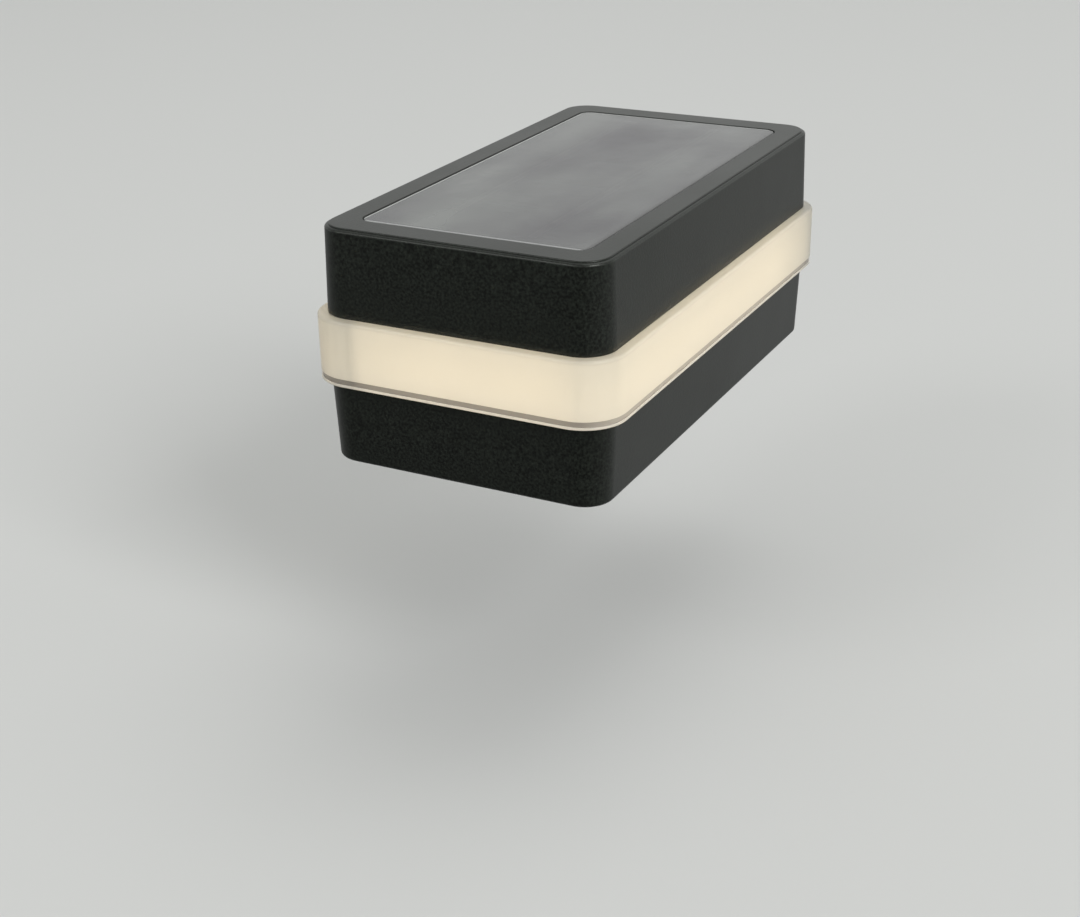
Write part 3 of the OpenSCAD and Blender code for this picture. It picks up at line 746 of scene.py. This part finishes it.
def grained(name, colour, roughness, scale=3000.0, depth=0.02 * MM, strength=0.5, drift=0.12,
            speck=0.25, dust=0.0, dust_colour=(0.30, 0.29, 0.27), **constants):
    """Moulded plastic, rubber or paint: colour times grain tone, dust on top, grain as bump."""
    finish = Finish(name, **constants)
    grain = finish.group(GRAIN, Scale=scale, Roughness=roughness, Drift=drift, Speck=speck)
    tone = finish.mix(1.0, colour, grain.outputs["Tone"], "MULTIPLY")
    if dust:
        film = finish.group(DUST, Amount=dust)
        tone = finish.mix(film.outputs["Mask"], tone, dust_colour)
    finish.feed("Base Color", tone)
    finish.feed("Roughness", grain.outputs["Roughness"])
    finish.bump(grain.outputs["Height"], strength, depth)
    return finish


def plated(name, colour, roughness, scale=900.0):
    """Plated or bare metal: grain drives gloss and a faint bump."""
    finish = grained(name, colour, roughness, scale, 0.01 * MM, 0.3, 0.18)
    finish.shader.inputs["Metallic"].default_value = 1.0
    return finish


def dress(finish, *things):
    """Puts a finish on pieces and on CAD nodes given by name."""
    for thing in things:
        target = NODES[thing] if isinstance(thing, str) else thing
        target.data.materials.clear()
        target.data.materials.append(finish.material)
    print(finish.material.name, "on", len(things), "parts")

# %% [markdown]
# ## Black housings
# The two housings are the same black plastic with a fine grain. It is nearly a perfect black with
# a faint speckle, and what is seen of it is mostly the room mirrored softly, strongest where it is
# seen at a low angle.

# %% Black plastic
black = grained("housing_black", (0.0064, 0.0082, 0.0062), 0.36, 2300.0, 0.05 * MM, 0.5, 0.10,
                speck=6.0, dust=0.008)
black.shader.inputs["Specular Tint"].default_value = (0.965, 1.0, 0.94, 1)
dress(black, housing_top, housing_low, straight, door, door_pins)

# %% [markdown]
# ## Ring materials
# The band is a clear plastic with a satin face, so it is glass with a rough surface. The liner
# glows. Its light falls off in the corners, which lie farthest from the lamps, near its upper edge,
# towards the rear and the left, and in thin upright lines near the corners. The shares of that
# fall-off are listed, and it is worked out from the position on the part.

# %% Satin and glow
STRIP_TOP = STEP_Z + STEP_H - 0.02 * MM
LEDGE_RISE = 0.7 * MM


def satin_clear():
    """Frosted clear plastic with light and shade painted into its colour by height: a pale lip of
    painted light, a grey strip of painted shade, the lit face, and an upper ledge painted greyer as shade.
    The strip's painted shade is paler where a long side begins."""
    finish = Finish("satin_clear", IOR=1.45, Metallic=0.0, Transmission_Weight=0.66)
    tree = finish.tree
    x, _, z = finish.position()
    # Painted light and shade by height: the lip is painted light, the strip and the ledge are painted shade.
    lip = math_node(tree, "LESS_THAN", z, ring_z0 + STEP_Z)
    foot = math_node(tree, "LESS_THAN", z, ring_z0 + STRIP_TOP)
    ledge = ramp(tree, z, ring_z1 - LEDGE_RISE, LEDGE_RISE)
    # The strip's painted shade is made paler on the long sides.
    side = ramp(tree, math_node(tree, "ABSOLUTE", x, 0.0), cap_w / 2 - 3 * MM, 4 * MM)
    strip = finish.mix(side, (0.235, 0.225, 0.235), (0.44, 0.42, 0.42))
    tint_and_painted_light = finish.mix(foot, (0.97, 0.93, 0.85), strip)
    tint_and_painted_light = finish.mix(lip, tint_and_painted_light, (0.89, 0.875, 0.845))
    finish.feed("Base Color", finish.mix(ledge, tint_and_painted_light, (0.70, 0.685, 0.64)))
    grain = finish.group(GRAIN, Scale=2200.0, Roughness=0.34, Drift=0.05)
    finish.feed("Roughness", grain.outputs["Roughness"])
    finish.bump(grain.outputs["Height"], 0.05, 0.01 * MM)
    return finish


CORNER_REACH, SEAM_HALF = 8 * MM, 1.1 * MM
REAR_REACH, LEFT_START, LEFT_REACH = 24 * MM, 4 * MM, 20 * MM
STREAK_IN, STREAK_HALF = 6.4 * MM, 2.4 * MM
TOP_LOSS, CORNER_LOSS, REAR_LOSS = 0.30, 0.42, 0.72
SEAM_LOSS, LEFT_LOSS, STREAK_LOSS = 0.14, 0.2, 0.45


def glow_loss(finish):
    """Share of the light that is missing: at the top, in a corner, towards +Y, in a thin upright line
    near each end of a side, towards -X, and in a wider upright streak near the -X corners."""
    tree = finish.tree
    x, y, z = finish.position()
    from_middle = [math_node(tree, "ABSOLUTE", socket, 0.0) for socket in (x, y)]
    halves = (cap_w / 2, cap_l / 2)
    ends = [ramp(tree, d, half - CORNER_REACH, CORNER_REACH) for d, half in zip(from_middle, halves)]
    seams = [peak(tree, d, half - 0.75 * HOUSING_R, SEAM_HALF) for d, half in zip(from_middle, halves)]
    minus_x = math_node(tree, "MULTIPLY", x, -1.0)
    return weighted(
        tree,
        (math_node(tree, "POWER", ramp(tree, z, ring_z0, ring_z1 - ring_z0), 3.0), TOP_LOSS),
        (math_node(tree, "MULTIPLY", *ends), CORNER_LOSS),
        (math_node(tree, "POWER", ramp(tree, y, cap_l / 2 - REAR_REACH, REAR_REACH), 1.3), REAR_LOSS),
        (math_node(tree, "MAXIMUM", *seams), SEAM_LOSS),
        (ramp(tree, minus_x, LEFT_START, LEFT_REACH), LEFT_LOSS),
        (peak(tree, minus_x, cap_w / 2 - STREAK_IN, STREAK_HALF), STREAK_LOSS))


def glowing_opal(power):
    """Opal plastic lit from behind, with that light painted as emission: warm white, a little cloudy, and
    painted dimmer, in emission and in colour, where light is missing.
    """
    finish = Finish("glowing_opal", Roughness=0.6)
    tree = finish.tree
    level = math_node(tree, "SUBTRACT", 1.0, glow_loss(finish), True)
    cloud = noise(tree, finish.place.outputs["Object"], 90.0, 2.0)
    level = math_node(tree, "MULTIPLY", level, math_node(tree, "ADD", weighted(tree, (cloud, 0.12)), 0.94))
    finish.feed("Base Color", finish.mix(level, (0.73, 0.69, 0.56), (0.90, 0.86, 0.76)))
    finish.feed("Emission Color", finish.mix(1.0, (1.0, 0.84, 0.58), level, "MULTIPLY"))
    finish.shader.inputs["Emission Strength"].default_value = power
    return finish


dress(satin_clear(), band)
# The liner's glow is painted emission that stands in for the light of the lamps behind it.
dress(glowing_opal(0.40), liner)

# %% [markdown]
# ## Panel materials
# Under the laminate lie dark cells with hair-thin printed fingers. The laminate itself is clear but
# milky: part glass, part pale haze in soft patches, with a smooth face that mirrors the room. A thin
# dark line runs along its edge, with a pale line outside it on the -X side and at both ends.

# %% Laminate, cells and ribbons
PALE_LINE, DARK_LINE = 0.42 * MM, 0.65 * MM


def milky_laminate():
    """Clear laminate with a haze in slanting patches, so the cells under it barely show. Past is how
    far a point lies beyond the panel's edge, and is negative inside it."""
    finish = Finish("milky_laminate", Transmission_Weight=0.4, IOR=1.5, Metallic=0.0)
    tree = finish.tree
    stretch = tree.nodes.new("ShaderNodeMapping")
    stretch.inputs["Scale"].default_value = (1.0, 0.45, 1.0)
    stretch.inputs["Rotation"].default_value = (0.0, 0.0, math.radians(-24))
    tree.links.new(finish.place.outputs["Object"], stretch.inputs["Vector"])
    cloud = math_node(tree, "SUBTRACT", noise(tree, stretch.outputs["Vector"], 48.0, 3.0, 0.5), 0.5)
    cloud = math_node(tree, "ADD", math_node(tree, "MULTIPLY", cloud, 3.1), 0.5, True)
    haze = finish.mix(cloud, (0.088, 0.080, 0.094), (0.275, 0.286, 0.274))
    x, y, _ = finish.position()
    across = math_node(tree, "SUBTRACT", math_node(tree, "ABSOLUTE", x, 0.0), panel_w / 2)
    along = math_node(tree, "SUBTRACT", math_node(tree, "ABSOLUTE", y, 0.0), panel_l / 2)
    left = math_node(tree, "SUBTRACT", math_node(tree, "MULTIPLY", x, -1.0), panel_w / 2)
    past = math_node(tree, "MAXIMUM", across, along)
    dark = math_node(tree, "GREATER_THAN", past, -DARK_LINE)
    pale = math_node(tree, "GREATER_THAN", math_node(tree, "MAXIMUM", left, along), -PALE_LINE)
    haze = finish.mix(dark, haze, (0.11, 0.11, 0.11))
    finish.feed("Base Color", finish.mix(pale, haze, (0.56, 0.57, 0.56)))
    grain = finish.group(GRAIN, Scale=300.0, Roughness=0.2, Drift=0.04)
    finish.feed("Roughness", grain.outputs["Roughness"])
    return finish


def silicon():
    """Cells: blue-black with fine grey fingers across them, spaced along Y."""
    finish = Finish("silicon_cell", Roughness=0.28)
    tree = finish.tree
    stripes = tree.nodes.new("ShaderNodeTexWave")
    stripes.wave_type = "BANDS"
    stripes.bands_direction = "Y"
    stripes.inputs["Scale"].default_value = 160.0
    tree.links.new(finish.place.outputs["Object"], stripes.inputs["Vector"])
    finger = math_node(tree, "GREATER_THAN", stripes.outputs["Fac"], 0.985)
    grain = finish.group(GRAIN, Scale=500.0, Roughness=0.28, Drift=0.2)
    dark = finish.mix(1.0, (0.012, 0.016, 0.035), grain.outputs["Tone"], "MULTIPLY")
    finish.feed("Base Color", finish.mix(finger, dark, (0.09, 0.09, 0.10)))
    finish.feed("Roughness", grain.outputs["Roughness"])
    return finish


dress(milky_laminate(), cover)
dress(silicon(), "solar_cells")
dress(plated("tinned_ribbon", (0.30, 0.30, 0.29), 0.42), "cell_ribbons")

# %% [markdown]
# ## The parts inside
# They are hidden in the finished cap, but they are real parts, so each has its own finish: plated
# metal, moulded nylon, solder mask, a shrink sleeve, and two-coloured wires.

# %% Inner finishes


def two_coloured(name, axis, split_at):
    """Wire insulation that is red on one side of a plane and black on the other. Axis is 0 for X, 1
    for Y."""
    finish = Finish(name)
    side = math_node(finish.tree, "GREATER_THAN", finish.position()[axis], split_at)
    grain = finish.group(GRAIN, Scale=1500.0, Roughness=0.35, Drift=0.1)
    colour = finish.mix(side, (0.02, 0.02, 0.022), (0.42, 0.02, 0.02))
    finish.feed("Base Color", finish.mix(1.0, colour, grain.outputs["Tone"], "MULTIPLY"))
    finish.feed("Roughness", grain.outputs["Roughness"])
    return finish


rubber = grained("soft_black_rubber", (0.018, 0.018, 0.018), 0.72, 1800.0, 0.05 * MM, 0.6, 0.1)
dress(rubber, pads, seat, "door_gasket", "lower_gasket", "upper_gasket")
dress(grained("foam_tape", (0.03, 0.03, 0.03), 0.85, 900.0, 0.1 * MM, 0.8), "panel_adhesive")
dress(grained("reflector_white", (0.86, 0.86, 0.83), 0.38, 1200.0, 0.01 * MM, 0.3, 0.05), "reflector")
dress(grained("board_white", (0.80, 0.81, 0.79), 0.32, 700.0, 0.02 * MM, 0.3, 0.08), "led_board")
dress(grained("board_green", (0.02, 0.13, 0.06), 0.32, 700.0, 0.02 * MM, 0.3, 0.12), "panel_backing")
dress(grained("led_package", (0.86, 0.85, 0.80), 0.35, 2500.0, 0.005 * MM, 0.3, 0.05), "leds")
dress(grained("phosphor", (0.90, 0.62, 0.10), 0.30, 3000.0, 0.005 * MM, 0.3, 0.15), "led_phosphor")
epoxy = grained("chip_epoxy", (0.02, 0.02, 0.02), 0.55, 3500.0, 0.01 * MM, 0.5, 0.1)
dress(epoxy, "controller_chip", "resistors")
dress(grained("ferrite", (0.055, 0.05, 0.047), 0.6, 2600.0, 0.03 * MM, 0.6, 0.2), "inductor")
dress(plated("can_aluminium", (0.72, 0.73, 0.74), 0.28), "capacitors")
dress(grained("cream_nylon", (0.78, 0.74, 0.58), 0.42, 1800.0, 0.01 * MM, 0.3, 0.06), "wire_connectors")
dress(grained("holder_black", (0.02, 0.02, 0.021), 0.48, 2200.0, 0.02 * MM, 0.4, 0.1), "battery_holder")
nickel = plated("nickel", (0.62, 0.60, 0.56), 0.26)
dress(nickel, "cell_can", "cell_cap", "contact_spring", "contact_plates")
dress(grained("shrink_sleeve", (0.03, 0.26, 0.11), 0.22, 500.0, 0.01 * MM, 0.3, 0.06), "cell_sleeve")
dress(plated("switch_tin", (0.58, 0.59, 0.60), 0.35), "switch_body")
dress(grained("knob_white", (0.82, 0.82, 0.79), 0.34, 2500.0, 0.01 * MM, 0.3, 0.04), knob)
dress(grained("silicone", (0.62, 0.62, 0.59), 0.45, 800.0, 0.03 * MM, 0.4, 0.08), "lead_seal")
dress(plated("zinc_plate", (0.66, 0.67, 0.68), 0.30), "assembly_screws")
dress(two_coloured("battery_wire", 1, 0.0), "battery_leads")
dress(two_coloured("panel_wire", 0, 0.0), "panel_leads")
dress(two_coloured("switch_wire", 1, switch_y), "switch_leads")
print(len(bpy.data.materials), "materials")

# %% [markdown]
# ## Floor and light
# The cap is held in the air, as on its post, just high enough for the battery door to hang open
# above a plain pale floor. The black plastic is read by what it mirrors: the room is brighter low
# down and behind, so the rim is grey, and dimmer below and in front, so the short side stays nearly
# black. The floor is left out of mirror rays, which see this room instead.

# %% Floor
FLOOR_HALF = 30.0
FLOOR_Z = hinge_z - (hinge_y - door_low[1]) - 4 * MM
floor_mesh = bpy.data.meshes.new("floor")
floor_corners = [(x * FLOOR_HALF, y * FLOOR_HALF, FLOOR_Z) for x, y in ((-1, -1), (1, -1), (1, 1), (-1, 1))]
floor_mesh.from_pydata(floor_corners, [], [(0, 1, 2, 3)])
floor = bpy.data.objects.new("floor", floor_mesh)
bpy.context.collection.objects.link(floor)
floor_finish = Finish("pale_floor", Roughness=0.9)
floor_finish.shader.inputs["Base Color"].default_value = (0.655, 0.66, 0.648, 1)
floor_finish.shader.inputs["Specular IOR Level"].default_value = 0.1
floor_mesh.materials.append(floor_finish.material)
floor.visible_glossy = False
print("floor at", round(FLOOR_Z / MM, 1), "mm")

# %% Light


def room(zenith, horizon, ground, front, front_wall):
    """World light by direction: zenith overhead and horizon low down. The share ground is left well
    below the horizon, where only mirror rays see it. Towards -Y the share front is left below the
    horizon and the share front_wall above it."""
    world = bpy.data.worlds.new("room")
    world.use_nodes = True
    tree = world.node_tree
    place = tree.nodes.new("ShaderNodeTexCoord")
    split = tree.nodes.new("ShaderNodeSeparateXYZ")
    tree.links.new(place.outputs["Generated"], split.inputs[0])
    y, z = split.outputs["Y"], split.outputs["Z"]
    up = math_node(tree, "MAXIMUM", z, 0.0)
    low = math_node(tree, "POWER", math_node(tree, "SUBTRACT", 1.0, up, True), 1.5)
    level = math_node(tree, "ADD", math_node(tree, "MULTIPLY", low, horizon - zenith), zenith)
    level = math_node(tree, "MULTIPLY", level, math_node(tree, "MAXIMUM", ramp(tree, z, -0.25, 0.25), ground))
    above = ramp(tree, z, -1 / 12, 1 / 12)
    kept = math_node(tree, "ADD", math_node(tree, "MULTIPLY", above, front_wall - front), front)
    forward = math_node(tree, "SUBTRACT", 1.0, ramp(tree, y, -1.0, 2.0))
    lost = math_node(tree, "MULTIPLY", forward, math_node(tree, "SUBTRACT", 1.0, kept))
    level = math_node(tree, "MULTIPLY", level, math_node(tree, "SUBTRACT", 1.0, lost))
    tree.links.new(level, tree.nodes["Background"].inputs["Strength"])
    tree.nodes["Background"].inputs["Color"].default_value = (0.985, 1.0, 0.985, 1)
    bpy.context.scene.world = world


def soft_light(name, place, target, size, power):
    """A square area light at place, turned to shine on target."""
    data = bpy.data.lights.new(name, "AREA")
    data.shape = "SQUARE"
    data.size = size
    data.energy = power
    lamp = bpy.data.objects.new(name, data)
    lamp.location = place
    lamp.rotation_euler = (Vector(target) - Vector(place)).to_track_quat("-Z", "Y").to_euler()
    bpy.context.collection.objects.link(lamp)
    print(name, power, "W")


room(zenith=0.53, horizon=0.90, ground=0.47, front=0.16, front_wall=0.6)
soft_light("window_right", (2.2, -1.1, 1.7), (0, 0, 0.03), 1.2, 41.0)
soft_light("window_front", (-1.1, -2.0, 1.5), (0, 0, 0.03), 1.0, 11.0)
soft_light("ceiling", (0.3, 0.9, 2.6), (0, 0.3, 0), 1.8, 14.0)
bpy.context.scene.view_settings.view_transform = "Standard"
bpy.context.scene.view_settings.look = "None"
